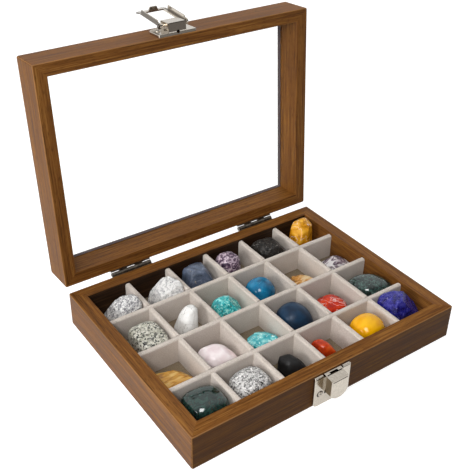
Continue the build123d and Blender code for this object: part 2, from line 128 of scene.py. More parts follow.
def edge_highlight_mask(tree, place, heights_mm):
    """A faint mask along the outer edges of a frame that stands between two heights, where a light
    line is laid as a painted highlight. A point is on an edge where it is near two of the frame's
    faces."""
    length_mm, depth_mm, arris_mm, highlight_share = (-100, 100), (-75, 75), 0.5, 0.35
    parts = add_node(tree, "SeparateXYZ", {0: place}).outputs
    count = 0.0
    for part, (low, high) in zip(parts, (length_mm, depth_mm, heights_mm)):
        gap = add_node(tree, "Math", {0: part, 1: (low + high) / 2 * mm}, operation="SUBTRACT")
        away = add_node(tree, "Math", {0: gap.outputs[0]}, operation="ABSOLUTE").outputs[0]
        face = ((high - low) / 2 - arris_mm) * mm
        near = add_node(tree, "Math", {0: away, 1: face}, operation="GREATER_THAN").outputs[0]
        count = add_node(tree, "Math", {0: count, 1: near}, operation="ADD").outputs[0]
    edge = add_node(tree, "Math", {0: count, 1: 1.5}, operation="GREATER_THAN").outputs[0]
    return add_node(tree, "Math", {0: edge, 1: highlight_share}, operation="MULTIPLY").outputs[0]


def drawn_out(tree, board, length_and_width_mm, detail):
    """Noise drawn out along the board's X into marks of a given length and width."""
    length, width = (1 / (size * mm) for size in length_and_width_mm)
    drawn = add_node(tree, "Mapping", {"Vector": board, "Scale": (length, width, width)})
    return add_node(
        tree, "TexNoise", {"Vector": drawn.outputs["Vector"], "Scale": 1.0, "Detail": detail}
    ).outputs["Fac"]


def walnut(name, grain, shut=None, shade_block=None, shine=0.16):
    """Walnut whose grain turn brings the board's length to X, and whose shut mapping closes the lid
    that it belongs to. Inside the given block (two corners and its tones) the wood is painted
    darker, as painted shade. A light line along the outer edges is a painted highlight, and on the
    lid the lip beside the glass is painted grey, a painted shade. The pores are drawn about twice
    as wide as real ones, so that they show."""
    streaks, fibres = 0.62, 0.5
    material, tree, shader = new_material(name)
    shader.inputs["Specular IOR Level"].default_value = shine
    place = add_node(tree, "TexCoord").outputs["Object"]
    if shut:
        place = add_node(tree, "Mapping", {"Vector": place, **shut}).outputs["Vector"]
    board = add_node(tree, "Mapping", {"Vector": place, "Rotation": grain}).outputs["Vector"]
    figure, streak, fibre = (
        drawn_out(tree, board, size, 2.0) for size in (figure_mm, streak_mm, fibre_mm)
    )
    growth = add_node(tree, "Mix", {0: streaks, 2: figure, 3: streak}, data_type="FLOAT").outputs[0]
    tone = add_node(tree, "Mix", {0: fibres, 2: growth, 3: fibre}, data_type="FLOAT").outputs[0]
    tone = add_node(tree, "MapRange", {"Value": tone, **noise_span}).outputs["Result"]
    colour = add_node(tree, "ValToRGB", {"Fac": tone}, stops=light_walnut).outputs["Color"]
    if shade_block:
        low, high, shade_stops = shade_block
        inside = within(tree, place, low, high)
        dark = add_node(tree, "ValToRGB", {"Fac": tone}, stops=shade_stops).outputs["Color"]
        colour = add_node(tree, "Mix", {0: inside, 6: colour, 7: dark}, data_type="RGBA").outputs[2]
    tree.links.new(colour, shader.inputs["Base Color"])
    pores = drawn_out(tree, board, pore_mm, 1.0)
    pore = add_node(
        tree, "MapRange", {"Value": pores, "From Min": 0.58, "From Max": 0.7, "To Max": 0.55}
    )
    stain(material, pore.outputs["Result"], pore_brown)
    # A light line along the outer edges is a painted highlight.
    edge_highlight = edge_highlight_mask(tree, place, lid_heights_mm if shut else tray_heights_mm)
    stain(material, edge_highlight, edge_highlight_tint)
    if shut:
        # The lip beside the glass is painted grey, as painted shade.
        lip = within(tree, place, (-91.7, -66.7, 44.4), (91.7, 66.7, 48.2))
        stain(material, lip, lip_shade)
    rough = add_node(
        tree, "MapRange", {"Value": fibre, **noise_span, "To Min": 0.42, "To Max": 0.58}
    )
    tree.links.new(rough.outputs["Result"], shader.inputs["Roughness"])
    relief = add_node(tree, "Bump", {"Height": fibre, "Strength": 0.3, "Distance": 0.1 * mm})
    tree.links.new(relief.outputs["Normal"], shader.inputs["Normal"])
    return material


def dress(names, material):
    """Gives CAD nodes their material."""
    for name in names:
        nodes[name].data.materials.clear()
        nodes[name].data.materials.append(material)


# The front board's face is painted darker, as painted shade, and has less shine, and the back
# board's inner face is painted darkest, a deeper painted shade. The two end boards are cut from the
# light wood alone.
front_face_shade = ((-101, -76, -1), (101, -74.6, 23.9), front_shade_walnut)
dress(
    ("tray_front_wall",),
    walnut("satin_walnut_front_board", along_x, shade_block=front_face_shade, shine=0.08),
)
back_inner_shade = ((-92, 60, -1), (92, 65.9, 23.9), back_shade_walnut)
dress(("tray_back_wall",), walnut("satin_walnut_back_board", along_x, shade_block=back_inner_shade))
dress(("tray_left_wall", "tray_right_wall"), walnut("satin_walnut_end_boards", along_y))

# --- bottom panel and lining ---
# A thin brown fibreboard set into a rebate under the boards, and on it a tan flocked lining glued
# down flat. The board is matt, and the flock's short fibres scatter the light and show no gloss.


def clouded(name, cloud_mm, detail, stops, rough=None, worn=None, metallic=0.0):
    """A named material whose colour drifts in soft clouds. Its roughness is even, or drifts with
    them between worn's two values."""
    material, tree, shader = new_material(name)
    place = add_node(tree, "TexCoord").outputs["Object"]
    clouds = add_node(
        tree, "TexNoise", {"Vector": place, "Scale": 1 / (cloud_mm * mm), "Detail": detail}
    ).outputs["Fac"]
    colour = add_node(tree, "ValToRGB", {"Fac": clouds}, stops=stops).outputs["Color"]
    tree.links.new(colour, shader.inputs["Base Color"])
    shader.inputs["Metallic"].default_value = metallic
    if worn:
        drift = add_node(
            tree, "MapRange", {"Value": clouds, **noise_span, "To Min": worn[0], "To Max": worn[1]}
        )
        tree.links.new(drift.outputs["Result"], shader.inputs["Roughness"])
    else:
        shader.inputs["Roughness"].default_value = rough
    return material


fibreboard = clouded(
    "brown_fibreboard", 1.4, 3.0, [(0.35, "#4a3626"), (0.65, "#6b5240")], rough=0.8
)
dress(("tray_bottom_panel",), fibreboard)


def flock(name, stops, relief_mm):
    """A napped cloth: soft clouds of tone, and short fibres that stand up. The fibres are drawn
    far coarser than real ones, which are too fine to show."""
    cloud_mm, tuft_mm, tuft_share = 11, 0.6, 0.75
    material, tree, shader = new_material(name)
    shader.inputs["Roughness"].default_value = 1.0
    shader.inputs["Specular IOR Level"].default_value = 0.15
    shader.inputs["Sheen Weight"].default_value = 0.18
    shader.inputs["Sheen Roughness"].default_value = 0.6
    place = add_node(tree, "TexCoord").outputs["Object"]
    clouds, tufts = (
        add_node(
            tree, "TexNoise", {"Vector": place, "Scale": 1 / (size_mm * mm), "Detail": detail}
        ).outputs["Fac"]
        for size_mm, detail in ((cloud_mm, 3.0), (tuft_mm, 2.0))
    )
    tone = add_node(tree, "Mix", {0: tuft_share, 2: clouds, 3: tufts}, data_type="FLOAT")
    colour = add_node(tree, "ValToRGB", {"Fac": tone.outputs[0]}, stops=stops).outputs["Color"]
    tree.links.new(colour, shader.inputs["Base Color"])
    nap = add_node(tree, "Bump", {"Height": tufts, "Strength": 0.6, "Distance": relief_mm * mm})
    tree.links.new(nap.outputs["Normal"], shader.inputs["Normal"])
    return material


dress(("tray_floor_lining",), flock("tan_flock", [(0.35, "#6f604b"), (0.65, "#95856d")], 0.2))

# --- dividers ---
# Thin boards wrapped in beige suede cloth with a rounded top edge, half-lapped where they cross.
# The nap makes the tops pale where the light grazes them and the sides a soft grey-beige.
suede = flock("beige_suede", [(0.35, "#b9ada2"), (0.65, "#d2c8bf")], 0.1)
dress([f"long_divider_{n}" for n in (1, 2, 3)], suede)
dress([f"short_divider_{n}" for n in (1, 2, 3, 4, 5)], suede)

# --- hinges ---
# Two small butt hinges of nickel-plated steel let into the back edges, with five knuckles on a pin.
# The plate has tarnished to a warm grey and its polish is dull, so the knuckles look dark.
tarnished_nickel = clouded(
    "tarnished_nickel_plate", 2.2, 4.0, [(0.35, "#57514a"), (0.7, "#8b8378")],
    worn=(0.42, 0.28), metallic=1.0,
)
for side in ("left", "right"):
    dress([f"{side}_hinge_{part}" for part in ("tray_leaf", "lid_leaf", "pin")], tarnished_nickel)

# --- screws ---
# Small countersunk cross-head screws of nickel-plated steel, three in each leaf of the hinges and
# two in each plate of the latch. The plating is bright, with a fine haze from handling.
screw_steel = clouded(
    "nickel_plated_screw_steel", 0.8, 2.0, [(0.3, "#a39c92"), (0.7, "#cfc8be")],
    rough=0.3, metallic=1.0,
)
dress(("hinge_tray_screws", "hinge_lid_screws"), screw_steel)
dress(("latch_keeper_screws", "latch_base_screws"), screw_steel)

# --- latch keeper ---
# The lower half of a flip-over box latch: a plate pressed from thin steel, with a hollow hood. It
# has bright nickel plate with faint wipe marks, and two screws hold it to the tray's front.
wipe_mm, bright = 1.2, (0.14, 0.22)
keeper_nickel = clouded(
    "bright_nickel_keeper", wipe_mm, 4.0, [(0.3, "#afa79b"), (0.7, "#c1b9ad")],
    worn=bright, metallic=1.0,
)
tree = keeper_nickel.node_tree
place = add_node(tree, "TexCoord").outputs["Object"]

# The hood's hollow and the strip of plate under its mouth are painted nearly black, as painted
# shade. Its left cheek is painted browner, a painted reflection of the wooden front, and is
# blunter.
# The dark lines along the folds of the sheet are painted reflections, and the dark rings round the
# screw heads are painted shadow.
# Each block is given by two corners in millimetres.
hood_hollow = ((-8.83, -82.55, 9.6), (2.43, -74.0, 21.0))
hollow_behind_roof = ((-8.83, -78.25, 9.6), (2.43, -74.0, 22.95))
shade_under_hood = ((-9.2, -77.4, 8.4), (2.8, -76.0, 10.6))
for block in (hood_hollow, hollow_behind_roof, shade_under_hood):
    stain(keeper_nickel, within(tree, place, *block), "#1b1612")
# The left cheek is painted browner, as a painted reflection of the wooden front.
cheek = within(tree, place, (-9.8, -82.7, 10.6), (-9.4, -78.0, 22.4))
stain(keeper_nickel, cheek, "#85765f")
roughness = tree.nodes["Principled BSDF"].inputs["Roughness"]
polished = roughness.links[0].from_socket
brushed_roughness = 0.5
cheek_roughness = add_node(
    tree, "Mix", {0: cheek, 2: polished, 3: brushed_roughness}, data_type="FLOAT"
)
tree.links.new(cheek_roughness.outputs[0], roughness)
# The dark lines along the folds are painted reflections.
hood_fold = ((-8.8, -84.0, 20.7), (2.4, -83.0, 21.5))
left_top_fold = ((-16.4, -77.4, 21.7), (-10.4, -76.7, 22.4))
right_top_fold = ((4.0, -77.4, 21.7), (10.0, -76.7, 22.4))
for block in (hood_fold, left_top_fold, right_top_fold):
    stain(keeper_nickel, within(tree, place, *block), "#4b443d")
# A dark ring round each screw head is painted shadow.
screw_z, ring_radius_mm = 9.8, 2.3
for screw_x in (-12.5, 6.1):
    flat = add_node(tree, "VectorMath", {0: place, 1: (1, 0, 1)}, operation="MULTIPLY")
    reach = add_node(
        tree,
        "VectorMath",
        {0: flat.outputs["Vector"], 1: (screw_x * mm, 0, screw_z * mm)},
        operation="DISTANCE",
    ).outputs["Value"]
    ring = add_node(tree, "Math", {0: reach, 1: ring_radius_mm * mm}, operation="LESS_THAN")
    stain(keeper_nickel, ring.outputs[0], "#2a2522")
dress(("latch_keeper_plate",), keeper_nickel)

# --- latch hasp ---
# The upper half, on the lid: a pressed plate whose block carries the swinging hasp on a pin. The
# same nickel plate is painted darker on the block's cut end, along the arms, on the left flange and
# at the plate's foot, as painted shade; these are given by blocks with the lid shut.
latch_nickel = clouded(
    "bright_nickel_latch", wipe_mm, 4.0, [(0.3, "#b9b1a5"), (0.7, "#cac2b7")],
    worn=bright, metallic=1.0,
)
tree = latch_nickel.node_tree
lid_open = math.radians(94.25)
hinge_axis = Vector((0, 77.7 * mm, 23.86 * mm))
back_turn = Euler((lid_open, 0, 0)).to_matrix()
shut = {"Rotation": (lid_open, 0, 0), "Location": hinge_axis - back_turn @ hinge_axis}
place = add_node(tree, "TexCoord").outputs["Object"]
closed = add_node(tree, "Mapping", {"Vector": place, **shut}).outputs["Vector"]
# The block's cut end is painted darker, as painted shade.
cut_end = ((-10.0, -90.0, 24.4), (3.6, -77.2, 25.65))
stain(latch_nickel, within(tree, closed, *cut_end), "#5c554d")
# The plate's foot, the arms and the left flange are painted darker, as painted shade.
plate_foot = ((-20.0, -77.2, 24.4), (14.0, -74.9, 25.1))
left_arm = ((-12.5, -100.0, 24.4), (-11.4, -78.3, 70.0))
right_arm = ((5.0, -100.0, 24.4), (6.1, -78.3, 70.0))
left_flange = ((-15.0, -100.0, 24.4), (-13.3, -78.3, 70.0))
for block in (plate_foot, left_arm, right_arm, left_flange):
    stain(latch_nickel, within(tree, closed, *block), "#69625a")
dress(("latch_base_plate", "latch_hasp", "latch_hasp_pin"), latch_nickel)

# The coil spring on the hasp's pin is drawn steel wire with a thin oil film, a darker grey.
spring_steel = clouded(
    "oiled_spring_steel", 0.6, 2.0, [(0.3, "#5f5b55"), (0.7, "#8b857c")],
    rough=0.35, metallic=1.0,
)
dress(("latch_spring",), spring_steel)

# --- lid boards ---
# Four walnut boards like the tray's, mitred, with a groove inside for the glass. The lid stands
# open, so the grain of its boards is turned with it, and the lip beside the glass is painted grey,
# as painted shade.
dress(
    ("lid_front_rail", "lid_back_rail"),
    walnut("satin_walnut_lid_rails", along_x, shut, shine=0.1),
)
dress(
    ("lid_left_stile", "lid_right_stile"),
    walnut("satin_walnut_lid_stiles", along_y, shut, shine=0.1),
)

# --- lid glass ---
# A sheet of 2 mm clear float glass in the groove, with a faint green in its thickness. It is
# polished flat, and lamps shine through it without a dark shadow.
glass_tint = linear("#fcfefd")
glass, tree, shader = new_material("clear_float_glass")
shader.inputs["Base Color"].default_value = glass_tint
shader.inputs["Roughness"].default_value = 0.0
shader.inputs["IOR"].default_value = 1.5
shader.inputs["Transmission Weight"].default_value = 1.0
clear = add_node(tree, "BsdfTransparent", {"Color": glass_tint}).outputs["BSDF"]
lamp_ray = add_node(tree, "LightPath").outputs["Is Shadow Ray"]
both = add_node(tree, "MixShader", {0: lamp_ray, 1: shader.outputs["BSDF"], 2: clear})
tree.links.new(both.outputs["Shader"], tree.nodes["Material Output"].inputs["Surface"])
dress(("lid_glass",), glass)

# --- stones, back row ---
# Loose hand specimens, one to a compartment. The rough ones are broken stone with flat faces and
# crisp edges, and the tumbled ones were rolled smooth and polished with fine grit.


def stone(
    node, finish, seed, plan, side, lump, lump_mm, soft, slant=0.0, top=1.0, lean=(0, 0),
    cuts=(), chips=0,
):
    """A stone that fills its CAD node's box. It is a block, squarer the larger plan and side are,
    slanted in plan, narrowed and leaned towards its top, and lumpy. Its flat foot, its cuts (x, y,
    z, depth) and its chips trim it, and soft is the share of its swell that they leave."""
    foot_depth, chip_depths, fineness = 0.75, (0.8, 0.98), 6
    noise_steps, roughening, lacunarity, octaves = (3.1, 1.7, 2.3), 1.0, 2.0, 3
    low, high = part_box(node)
    size = high - low
    draw = random.Random(seed)
    planes = [(Vector((0, 0, -1)), foot_depth)]
    planes += [(Vector(cut[:3]).normalized(), cut[3]) for cut in cuts]
    for _ in range(chips):
        facing = Vector([draw.gauss(0, 1) for _ in range(3)]).normalized()
        planes.append((facing, draw.uniform(*chip_depths)))
    bm = bmesh.new()
    bmesh.ops.create_icosphere(bm, subdivisions=fineness, radius=1.0)
    offset = Vector([seed * step for step in noise_steps])
    frequency = size.length / 2 / (lump_mm * mm)
    for vert in bm.verts:
        p = vert.co.normalized()
        flat = (abs(p.x) ** plan + abs(p.y) ** plan) ** (1 / plan)
        p = p * (flat ** side + abs(p.z) ** side) ** (-1 / side)
        p.x, p.y = p.x - slant * p.y, p.y - slant * p.x
        share = 1 - (1 - top) * (p.z + 1) / 2
        p.x = p.x * share + (1 - share) * lean[0]
        p.y = p.y * share + (1 - share) * lean[1]
        swell = noise.fractal(p * frequency + offset, roughening, lacunarity, octaves)
        p *= 1 + lump * swell
        for normal, depth in planes:
            over = p.dot(normal) - depth
            if over > 0:
                p = p - normal * over * (1 - soft)
        vert.co = p
    ends = [(min(v.co[i] for v in bm.verts), max(v.co[i] for v in bm.verts)) for i in range(3)]
    for vert in bm.verts:
        vert.co = [
            low[i] + size[i] * (vert.co[i] - ends[i][0]) / (ends[i][1] - ends[i][0])
            for i in range(3)
        ]
    bmesh.ops.recalc_face_normals(bm, faces=bm.faces)
    for face in bm.faces:
        face.smooth = True
    mineral_name = node.split("_", 2)[2]
    mesh = bpy.data.meshes.new(mineral_name)
    bm.to_mesh(mesh)
    bm.free()
    mesh.materials.append(finish)
    piece = bpy.data.objects.new(mineral_name + "_stone", mesh)
    bpy.context.scene.collection.objects.link(piece)
    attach(piece, node)
    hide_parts(node)


def mineral(
    name, stops, patch_mm, rough, relief_mm, specks=(), veins=(), warp=0.3, squeeze=(1, 1, 1),
    grain_mm=0.5, shine=0.5,
):
    """Stone with patches of tone, which warp curls and squeeze draws into bands, then specks
    (tint, mm, threshold) and veins (tint, mm, width)."""
    speck_edge, least_rough, most_rough = 0.04, 0.8, 1.25
    material, tree, shader = new_material(name)
    place = add_node(tree, "TexCoord").outputs["Object"]
    laid = add_node(tree, "Mapping", {"Vector": place, "Scale": squeeze}).outputs["Vector"]
    patches = add_node(
        tree,
        "TexNoise",
        {"Vector": laid, "Scale": 1 / (patch_mm * mm), "Detail": 4.0, "Distortion": warp},
    ).outputs["Fac"]
    colour = add_node(tree, "ValToRGB", {"Fac": patches}, stops=stops).outputs["Color"]
    tree.links.new(colour, shader.inputs["Base Color"])
    for tint, speck_mm, threshold in specks:
        cells = add_node(
            tree,
            "TexNoise",
            {"Vector": place, "Scale": 1 / (speck_mm * mm), "Detail": 2.0, "Distortion": 0.4},
        ).outputs["Fac"]
        speck = {"Value": cells, "From Min": threshold, "From Max": threshold + speck_edge}
        stain(material, add_node(tree, "MapRange", speck).outputs["Result"], tint)
    for tint, vein_mm, width in veins:
        field = add_node(
            tree,
            "TexNoise",
            {"Vector": laid, "Scale": 1 / (vein_mm * mm), "Detail": 3.0, "Distortion": 0.8},
        ).outputs["Fac"]
        signed = add_node(tree, "Math", {0: field, 1: 0.5}, operation="SUBTRACT").outputs[0]
        away = add_node(tree, "Math", {0: signed}, operation="ABSOLUTE").outputs[0]
        vein = {"Value": away, "From Min": 0.0, "From Max": width, "To Min": 1.0, "To Max": 0.0}
        stain(material, add_node(tree, "MapRange", vein).outputs["Result"], tint)
    grain = add_node(
        tree, "TexNoise", {"Vector": place, "Scale": 1 / (grain_mm * mm), "Detail": 3.0}
    ).outputs["Fac"]
    polish = add_node(
        tree,
        "MapRange",
        {"Value": grain, **noise_span, "To Min": rough * least_rough, "To Max": rough * most_rough},
    )
    tree.links.new(polish.outputs["Result"], shader.inputs["Roughness"])
    bump = add_node(tree, "Bump", {"Height": grain, "Strength": 1.0, "Distance": relief_mm * mm})
    tree.links.new(bump.outputs["Normal"], shader.inputs["Normal"])
    shader.inputs["Specular IOR Level"].default_value = shine
    return material


# Grey marble broken from the block: sugary grains of white and grey, with no polish.
stone(
    "stone_r1c1_grey_marble",
    mineral(
        "broken_grey_marble", [(0.38, "#7d7c80"), (0.5, "#b5b4b4"), (0.6, "#e4e3e1")], 2.0,
        rough=0.6, relief_mm=0.15, specks=[("#67666b", 1.3, 0.6), ("#f4f2ef", 1.2, 0.6)], warp=1.0,
    ),
    seed=11, plan=3.0, side=3.4, lump=0.04, lump_mm=6, soft=0.0, slant=0.2, top=0.45,
    lean=(1.0, -0.5),
    cuts=[(-0.35, -0.75, 0.5, 0.72), (0.0, 0.9, 0.4, 0.75), (-0.6, 0.1, 0.75, 0.62)], chips=9,
)
# Quartzite broken by hand: nearly white and dull, with a few grey grains.
stone(
    "stone_r1c2_rough_quartzite",
    mineral(
        "broken_quartzite", [(0.36, "#b5b4b5"), (0.5, "#e0dfdd"), (0.6, "#f5f4f2")], 2.2,
        rough=0.6, relief_mm=0.15, specks=[("#85848a", 1.4, 0.66)], warp=1.0,
    ),
    seed=12, plan=8.0, side=3.6, lump=0.04, lump_mm=6, soft=0.0, slant=0.3, top=0.55,
    lean=(1.0, -0.8),
    cuts=[
        (-0.7, 0.7, 0.0, 0.7), (-0.4, -0.7, 0.5, 0.75), (-0.65, 0.35, 0.65, 0.42),
        (0.3, 0.6, 0.7, 0.9), (0.75, 0.1, 0.65, 1.25),
    ],
)
# Tumbled blue chalcedony: cloudy slate blue with a satin gloss and scraps of tan rind.
stone(
    "stone_r1c3_blue_chalcedony",
    mineral(
        "tumbled_blue_chalcedony", [(0.3, "#353d4b"), (0.55, "#566176"), (0.75, "#8791a3")], 7.0,
        rough=0.3, relief_mm=0.004, specks=[("#b7ab96", 3.0, 0.7)], warp=1.2,
    ),
    seed=13, plan=3.4, side=3.4, lump=0.05, lump_mm=14, soft=0.3,
    cuts=[(0.8, -0.2, 0.55, 0.85), (-0.2, -0.9, 0.3, 0.9)],
)
# Tumbled lepidolite: flakes of mica in curled patches of dark purple and pale lilac.
stone(
    "stone_r1c4_purple_lepidolite",
    mineral(
        "tumbled_lepidolite", [(0.4, "#35263c"), (0.5, "#6d5168"), (0.6, "#cbbac4")], 3.6,
        rough=0.3, relief_mm=0.01, warp=1.8,
    ),
    seed=14, plan=2.4, side=2.5, lump=0.05, lump_mm=10, soft=0.3,
)
# Lava: black and full of pores, so it shines only in points.
stone(
    "stone_r1c5_black_lava",
    mineral(
        "porous_black_lava", [(0.4, "#0d0b09"), (0.65, "#2c2621")], 1.6,
        rough=0.4, relief_mm=0.6, specks=[("#6f6a63", 1.3, 0.64)], grain_mm=1.4, shine=0.3,
    ),
    seed=15, plan=2.8, side=2.8, lump=0.05, lump_mm=7, soft=0.2, slant=0.12, top=0.8,
    lean=(-0.4, 0.2), chips=6,
)
# Broken jasper: warm yellow with a waxy gloss on its flat faces, and a few white seams.
stone(
    "stone_r1c6_yellow_jasper",
    mineral(
        "broken_yellow_jasper", [(0.36, "#b06c0e"), (0.48, "#dd9615"), (0.68, "#f0b63a")], 5.0,
        rough=0.22, relief_mm=0.02, veins=[("#f8ecd2", 13.0, 0.008)], shine=0.35, warp=1.0,
    ),
    seed=16, plan=5.0, side=5.0, lump=0.03, lump_mm=8, soft=0.0, top=0.72, lean=(0.35, 0.0),
    cuts=[(-0.75, -0.25, 0.5, 0.78), (0.5, -0.8, 0.1, 0.8), (-0.1, -0.55, 0.8, 0.9)], chips=4,
)

# --- stones, second row ---
# Mostly tumbled: a speckled rounded block, a white cone, turquoise with its host rock, a glossy
# blue pebble and two low flat ones.

# Tumbled diorite: black grains crowded in cream feldspar, smooth but not glossy.
stone(
    "stone_r2c1_speckled_diorite",
    mineral(
        "tumbled_diorite", [(0.38, "#a3a191"), (0.62, "#dcd9cd")], 2.4,
        rough=0.4, relief_mm=0.02, specks=[("#5d5c56", 1.7, 0.56), ("#121110", 1.6, 0.57)],
        warp=0.8,
    ),
    seed=21, plan=4.2, side=4.2, lump=0.03, lump_mm=12, soft=0.3, top=0.94, lean=(0.1, 0),
    cuts=[(0.1, -0.2, 0.9, 0.9)],
)
# Tumbled howlite: chalk white with thin grey veins and a soft gloss.
stone(
    "stone_r2c2_white_howlite",
    mineral(
        "tumbled_howlite", [(0.35, "#dedcd8"), (0.6, "#f4f3f1")], 6.0,
        rough=0.28, relief_mm=0.006, veins=[("#98938e", 8.0, 0.014)],
    ),
    seed=22, plan=2.4, side=3.0, lump=0.03, lump_mm=10, soft=0.2, top=0.5, lean=(0.8, -0.3),
    cuts=[(-0.7, -0.3, 0.5, 0.58), (0.85, -0.5, 0.0, 0.85)],
)
# Polished turquoise: blue-green under a bright gloss, with brown specks and fine dark veins.
stone(
    "stone_r2c3_green_turquoise",
    mineral(
        "polished_green_turquoise", [(0.36, "#128a90"), (0.5, "#3cbabb"), (0.62, "#9fe9e2")], 2.4,
        rough=0.14, relief_mm=0.03, specks=[("#6b5a36", 1.3, 0.64)],
        veins=[("#2f4a3f", 6.0, 0.012)], warp=1.0,
    ),
    seed=23, plan=2.8, side=2.9, lump=0.05, lump_mm=7, soft=0.0,
    cuts=[(0.7, -0.3, 0.6, 0.7), (-0.2, -0.8, 0.5, 0.75)], chips=9,
)
# Polished agate dyed sea blue: deep and even, with one small bright highlight.
stone(
    "stone_r2c4_blue_agate",
    mineral(
        "polished_blue_agate", [(0.3, "#064a6c"), (0.5, "#0b6c95"), (0.74, "#1f87ad")], 9.0,
        rough=0.14, relief_mm=0.002, veins=[("#2f8fb0", 10.0, 0.004)], shine=0.4, warp=1.0,
    ),
    seed=24, plan=2.2, side=2.3, lump=0.02, lump_mm=12, soft=0.3,
)
# Tumbled jasper: bands of amber and cream with a soft gloss.
stone(
    "stone_r2c5_amber_jasper",
    mineral(
        "tumbled_amber_jasper", [(0.38, "#8a5a22"), (0.5, "#cd8d38"), (0.62, "#e8cfa0")], 3.4,
        rough=0.28, relief_mm=0.02, squeeze=(0.3, 1, 1.6), warp=0.5,
    ),
    seed=25, plan=6.0, side=4.0, lump=0.04, lump_mm=7, soft=0.0, slant=0.25,
    cuts=[(0.7, 0.6, 0.3, 0.95)], chips=5,
)
# Amethyst still in its white rock: bands of dusky crystals between pale, uneven layers.
stone(
    "stone_r2c6_amethyst_matrix",
    mineral(
        "amethyst_in_white_rock", [(0.4, "#43353f"), (0.48, "#94838f"), (0.55, "#eae6e6")], 4.0,
        rough=0.35, relief_mm=0.05, squeeze=(0.4, 1, 1.8), warp=0.8,
    ),
    seed=26, plan=3.6, side=3.2, lump=0.08, lump_mm=5, soft=0.0, slant=0.25,
    cuts=[(0.6, -0.2, 0.75, 0.8)], chips=9,
)

# --- stones, third row ---
# A low honey-coloured cleavage piece, a pale egg, a lumpy turquoise, and three polished pebbles,
# of which the dark green one fills its compartment.

# Calcite cleaved along its layers: honey yellow to brown, with a glassy shine.
stone(
    "stone_r3c1_yellow_calcite",
    mineral(
        "honey_calcite", [(0.36, "#9c6415"), (0.5, "#c98f2a"), (0.7, "#e2bd6a")], 4.0,
        rough=0.2, relief_mm=0.02, squeeze=(0.4, 1.5, 1.8), warp=0.8,
    ),
    seed=31, plan=6.0, side=3.8, lump=0.04, lump_mm=8, soft=0.0, slant=0.25,
    cuts=[(0.75, 0.35, 0.55, 0.85), (-0.2, -0.8, 0.55, 0.85)], chips=8,
)
# Tumbled rose quartz: milky and the palest pink, with a soft gloss.
stone(
    "stone_r3c2_rose_quartz",
    mineral(
        "tumbled_rose_quartz", [(0.35, "#e6d3d5"), (0.6, "#f5ebeb")], 7.0,
        rough=0.22, relief_mm=0.003,
    ),
    seed=32, plan=3.0, side=3.0, lump=0.02, lump_mm=12, soft=0.3, slant=0.12, top=0.65,
    lean=(-0.6, 0.7), cuts=[(0.65, -0.4, 0.65, 0.78)],
)
# A turquoise nugget tumbled as it was found: lumpy sky blue with pale spots and brown ones.
stone(
    "stone_r3c3_turquoise_nugget",
    mineral(
        "turquoise_nugget", [(0.36, "#259aa6"), (0.5, "#4fbfc6"), (0.64, "#a2e6e4")], 3.0,
        rough=0.18, relief_mm=0.03, specks=[("#c9f4f0", 1.8, 0.6), ("#86734a", 2.0, 0.66)],
    ),
    seed=33, plan=4.0, side=4.2, lump=0.12, lump_mm=5, soft=0.2, cuts=[(0.6, 0.4, 0.6, 1.0)],
    chips=8,
)
# Blue aventurine with a satin finish: a dark, almost even navy.
stone(
    "stone_r3c4_blue_aventurine",
    mineral(
        "satin_blue_aventurine", [(0.35, "#0d2237"), (0.65, "#17344e")], 6.0,
        rough=0.4, relief_mm=0.004, shine=0.25,
    ),
    seed=34, plan=2.4, side=2.6, lump=0.02, lump_mm=14, soft=0.3, top=0.7, lean=(-0.6, 0.5),
    cuts=[(0.6, -0.35, 0.7, 0.82)],
)
# Polished red jasper: scarlet, with sharp highlights and thin white seams, which are partly
# real seams and partly painted streaks of highlight.
stone(
    "stone_r3c5_red_jasper",
    mineral(
        "polished_red_jasper", [(0.35, "#8c1402"), (0.5, "#c02604"), (0.7, "#dc400a")], 5.0,
        rough=0.1, relief_mm=0.008, veins=[("#f4e9e2", 12.0, 0.008)], shine=0.25, warp=0.8,
    ),
    seed=35, plan=2.6, side=2.6, lump=0.03, lump_mm=8, soft=0.2,
)
# Polished moss agate: dark green clouds and a few pale flecks under a glassy gloss.
stone(
    "stone_r3c6_moss_agate",
    mineral(
        "polished_moss_agate", [(0.35, "#0a1816"), (0.5, "#1b2f2b"), (0.7, "#3f5a53")], 2.6,
        rough=0.1, relief_mm=0.003, specks=[("#768b84", 1.0, 0.66)], shine=0.7, warp=1.0,
    ),
    seed=36, plan=2.8, side=3.0, lump=0.02, lump_mm=14, soft=0.3, slant=0.15,
)

# --- stones, front row ---
# A large dark green stone, a granite ball, a matt black pebble, a red one, a bright yellow one and
# a broken piece of blue rock that stands higher than the dividers.

# Polished bloodstone: a green that is nearly black, glassy, with fine rusty veins.
stone(
    "stone_r4c1_bloodstone",
    mineral(
        "polished_bloodstone", [(0.35, "#0a1c1a"), (0.5, "#122b27"), (0.7, "#26453d")], 4.0,
        rough=0.1, relief_mm=0.003, veins=[("#4b3526", 7.0, 0.005)], shine=0.7, warp=1.6,
    ),
    seed=41, plan=3.0, side=3.2, lump=0.02, lump_mm=14, soft=0.2, slant=0.05,
)
# Tumbled granite: black and white grains in grey, smooth but not glossy.
stone(
    "stone_r4c2_granite",
    mineral(
        "tumbled_granite", [(0.42, "#767473"), (0.58, "#cfcdca")], 1.6,
        rough=0.4, relief_mm=0.03, specks=[("#1c1a19", 1.3, 0.58), ("#f2f0ee", 1.2, 0.6)],
        warp=0.8,
    ),
    seed=42, plan=2.8, side=2.8, lump=0.04, lump_mm=10, soft=0.3,
)
